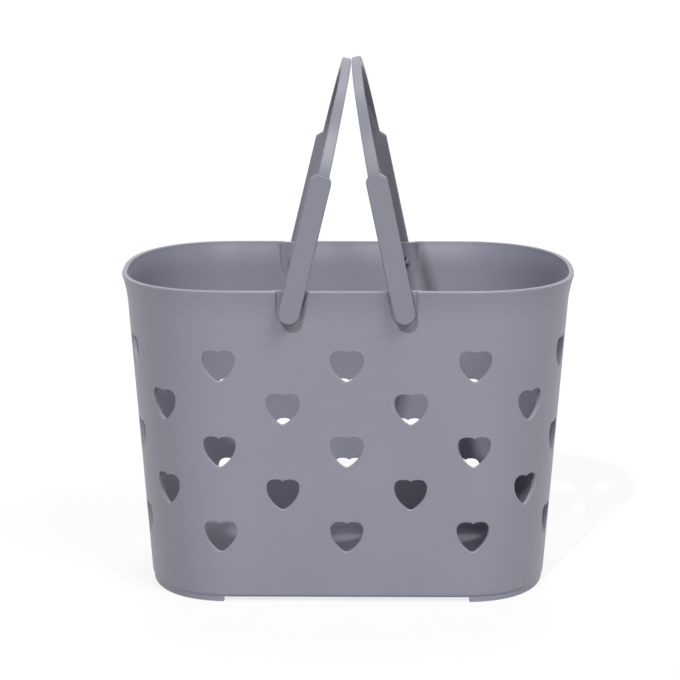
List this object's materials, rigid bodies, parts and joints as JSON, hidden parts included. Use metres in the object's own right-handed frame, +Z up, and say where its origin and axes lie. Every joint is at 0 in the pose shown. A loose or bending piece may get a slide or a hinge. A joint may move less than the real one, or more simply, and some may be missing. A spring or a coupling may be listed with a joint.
{
  "type": "folding shower basket",
  "caption": "Tapered plastic tub basket with heart-shaped drain holes and twin swing handles that meet over the middle or fold down.",
  "frame": {"origin": "on the table under the middle of the tub", "axes": "+Z up, +X to the right along the tub's length, front at -Y"},
  "size_m": [0.2464, 0.1686, 0.2839],
  "materials": {
    "tub_plastic": "smooth satin moulding",
    "handle_plastic": "smooth satin moulding"
  },
  "bodies": {
    "basket": {"basket": "tub_plastic"},
    "left_handle": {"left_handle": "handle_plastic"},
    "right_handle": {"right_handle": "handle_plastic"}
  },
  "joints": [
    {"name": "left_handle_swing", "type": "hinge", "parent": "basket", "child": "left_handle", "pos_m": [-0.0303, 0, 0.1588], "axis": [0, -1, 0], "range_deg": [0, 149]},
    {"name": "right_handle_swing", "type": "hinge", "parent": "basket", "child": "right_handle", "pos_m": [0.0303, 0, 0.1588], "axis": [0, 1, 0], "range_deg": [0, 147.5]}
  ]
}
